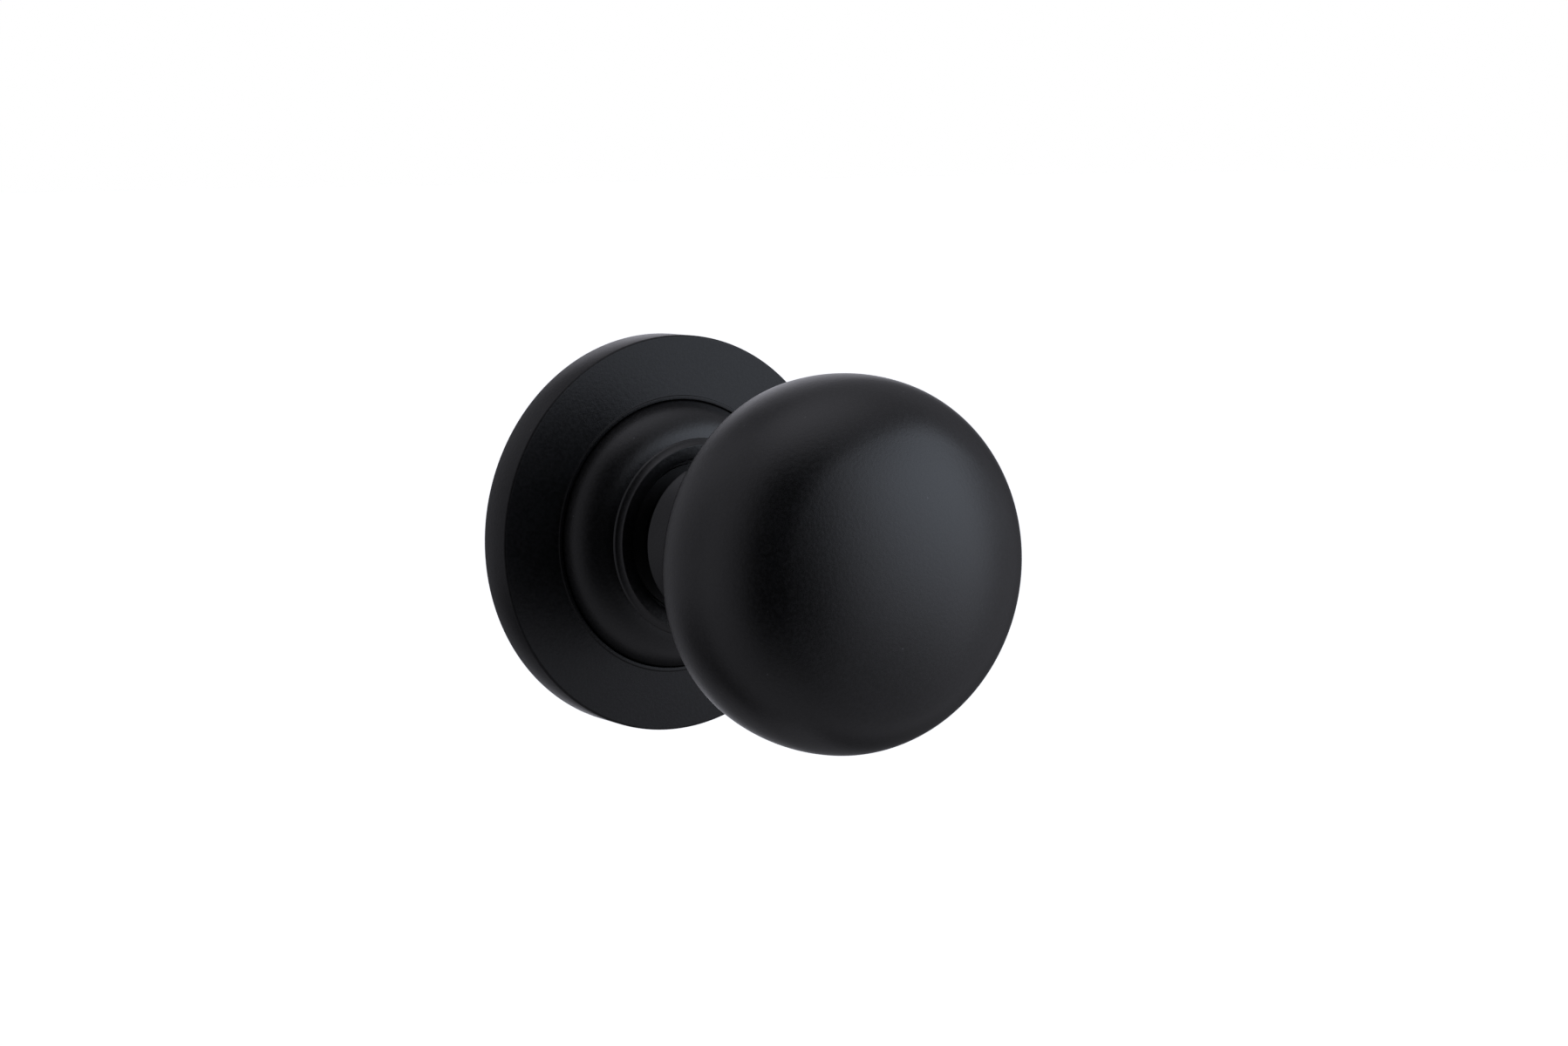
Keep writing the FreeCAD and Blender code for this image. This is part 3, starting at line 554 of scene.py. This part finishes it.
def makeScrews(look):                                    # both screws of a pair, as one piece
    shape = threadShape
    moves = [("line", look["headRadius"], look["headOut"], shape["headRound"]),
             ("line", look["shankRadius"], look["headOut"] - look["headDepth"]),
             ("line", look["shankRadius"], look["threadStart"]),
             ("line", look["coreRadius"], look["threadStart"] - shape["shoulder"]),
             ("line", look["coreRadius"], look["pointStart"]),
             ("line", look["tipRadius"], look["tip"]), ("line", 0, look["tip"])]
    mesh = turnPiece((0, look["headOut"]), moves, shape["around"], closed=False)
    reach, width, depth = look["recess"]
    face = (0, -look["headOut"], 0)
    mesh = cutAway(mesh, [block(2 * reach, 2 * depth, width, face),
                          block(width, 2 * depth, 2 * reach, face)])
    ridge = borrowObject(makeThread(look))
    mesh.from_mesh(ridge.data)
    dropObject(ridge)
    first, second = [Vector(look[name]) * mm for name in ("first", "second")]
    bmesh.ops.translate(mesh, verts=mesh.verts[:], vec=first)
    copied = bmesh.ops.duplicate(mesh, geom=mesh.verts[:] + mesh.edges[:] + mesh.faces[:])["geom"]
    moved = [item for item in copied if isinstance(item, bmesh.types.BMVert)]
    bmesh.ops.translate(mesh, verts=moved, vec=second - first)
    keepPiece(look["name"], mesh, "rose", look["node"], smoothAngle=35)


makeScrews(machineScrew)
makeScrews(woodScrew)
print("screws threaded")


stageLook = {
    "floorDrop": 0.13, "floorSize": 6.0, "floorColour": (0.80, 0.80, 0.80, 1), "roughness": 0.9,
    "glowColour": (1, 1, 1, 1), "glow": 0.66,
}


def makeFloor():
    look = stageLook
    mesh = bmesh.new()
    bmesh.ops.create_grid(mesh, x_segments=1, y_segments=1, size=look["floorSize"])
    bmesh.ops.translate(mesh, verts=mesh.verts[:], vec=(0, 0, -look["floorDrop"]))
    data = bpy.data.meshes.new("floor")
    mesh.to_mesh(data)
    mesh.free()
    floor = bpy.data.objects.new("floor", data)
    bpy.context.scene.collection.objects.link(floor)
    material, shader = newMaterial("paleFloor")[:2]
    shader.inputs["Base Color"].default_value = look["floorColour"]
    shader.inputs["Roughness"].default_value = look["roughness"]
    shader.inputs["Specular IOR Level"].default_value = 0.0
    shader.inputs["Emission Color"].default_value = look["glowColour"]
    shader.inputs["Emission Strength"].default_value = look["glow"]
    data.materials.append(material)
    floor.visible_glossy = False
    floor.visible_diffuse = False


view = {"azimuth": -34.7, "elevation": 6.9, "distance": 0.549, "aim": (0.0162, -0.0112, 0.0010),
        "lens": 82.5}


def cameraBack(turn=0, rise=0):                          # from the knob towards the camera
    swing, lift = math.radians(view["azimuth"] + turn), math.radians(view["elevation"] + rise)
    return Vector((math.sin(swing) * math.cos(lift), -math.cos(swing) * math.cos(lift), math.sin(lift)))


# The studio: a large soft box to the right, a paler wall to the left, a dark gap where the camera
# stands, a soft ceiling and a pale backdrop, with shaded parts beside, above and below the
# backdrop. Angles are in degrees: azimuth 0 faces the knob's front and grows to the right. A pair
# is where a part starts to change and where it has changed.
studio = {
    "fill": 0.30, "tint": (0.985, 0.985, 1.085, 1), "white": (1, 1, 1, 1),
    "key": 1.45, "keyTint": (0.90, 0.985, 1.13, 1), "keyLeft": (-24, 44), "keyRight": (64, 82),
    "keyFoot": (-48, 24), "keyTop": (35, 47), "ceiling": 0.5, "ceilingRise": (46, 86),
    "leftWall": 0.12, "wallEnd": (-100, -80), "wallRise": (-50, 0),
    "gap": 0.92, "gapLeft": (-88, -54), "gapRight": (-12, 14), "gapFoot": (-70, -20),
    "gapTop": (48, 74),
    "rightShade": 0.65, "rightShadeFrom": (92, 116), "rightShadeTo": (130, 146),
    "leftShade": 0.40, "leftShadeFrom": (-176, -158), "leftShadeTo": (-138, -116),
    "sideShadeTop": (5, 45),
    "highShade": 0.55, "highShadeSides": (158, 176), "highShadeFoot": (6, 26),
    "highShadeTop": (44, 64),
    "lowShade": 0.5, "lowShadeSides": (120, 160), "lowShadeFoot": (-75, -50),
    "lowShadeTop": (-28, -8),
    "backdrop": 0.68, "backdropWidth": (31, 10), "backdropTurn": 12, "backdropLift": -7,
}


def between(angle, start, end):                          # 1 between two soft edges, 0 outside
    return angle.ramp(*studio[start]) * (1 - angle.ramp(*studio[end]))


def lightStudio():
    look = studio
    world = bpy.data.worlds.new("studio")
    bpy.context.scene.world = world
    world.use_nodes = True
    tree = world.node_tree
    start = Wire(tree)
    way = start.node("ShaderNodeTexCoord", output=0)     # the direction that is looked in
    parts = way.node("ShaderNodeSeparateXYZ", inputs={"Vector": way}).socket.node
    across, inward, upward = [Wire(tree, part) for part in parts.outputs]
    azimuth = across.maths("ARCTAN2", across, inward * -1.0) * (180 / math.pi)
    elevation = upward.maths("ARCSINE", upward) * (180 / math.pi)
    behind = azimuth.maths("ABSOLUTE", azimuth)

    key = between(azimuth, "keyLeft", "keyRight") * between(elevation, "keyFoot", "keyTop")
    gap = between(azimuth, "gapLeft", "gapRight") * between(elevation, "gapFoot", "gapTop")
    leftWall = (1 - azimuth.ramp(*look["wallEnd"])) * elevation.ramp(*look["wallRise"])
    right = between(azimuth, "rightShadeFrom", "rightShadeTo") * look["rightShade"]
    left = between(azimuth, "leftShadeFrom", "leftShadeTo") * look["leftShade"]
    high = behind.ramp(*look["highShadeSides"]) * between(elevation, "highShadeFoot", "highShadeTop")
    low = behind.ramp(*look["lowShadeSides"]) * between(elevation, "lowShadeFoot", "lowShadeTop")
    shade = (right + left) * (1 - elevation.ramp(*look["sideShadeTop"]))
    shade = shade + high * look["highShade"] + low * look["lowShade"]

    backdropWay = cameraBack(look["backdropTurn"], look["backdropLift"]) * -1
    ahead = way.node("ShaderNodeVectorMath", {"operation": "DOT_PRODUCT"}, {0: way, 1: backdropWay}, 1)
    wide, narrow = [math.cos(math.radians(angle)) for angle in look["backdropWidth"]]
    light = (leftWall * look["leftWall"] + look["fill"]) * (1 - gap * look["gap"]) * (1 - shade)
    light = light + key * look["key"] + elevation.ramp(*look["ceilingRise"]) * look["ceiling"]
    light = light + ahead.ramp(wide, narrow) * look["backdrop"]

    shown = start.node("ShaderNodeLightPath", output=0)  # behind the knob the camera sees plain white
    strength = light * (1 - shown) + shown
    colour = mixColours(shown, mixColours(key, look["tint"], look["keyTint"]), look["white"])
    backing = tree.nodes["Background"]
    tree.links.new(strength.socket, backing.inputs["Strength"])
    tree.links.new(colour.socket, backing.inputs["Color"])


def setCamera():
    data = bpy.data.cameras.new("camera")
    data.lens = view["lens"]
    data.sensor_width = 36.0
    camera = bpy.data.objects.new("camera", data)
    bpy.context.scene.collection.objects.link(camera)
    back = cameraBack()
    camera.location = Vector(view["aim"]) + back * view["distance"]
    camera.rotation_euler = back.to_track_quat("Z", "Y").to_euler()
    bpy.context.scene.camera = camera


makeFloor()
lightStudio()
setCamera()
bpy.context.scene.view_settings.view_transform = "Standard"
print("stage set")
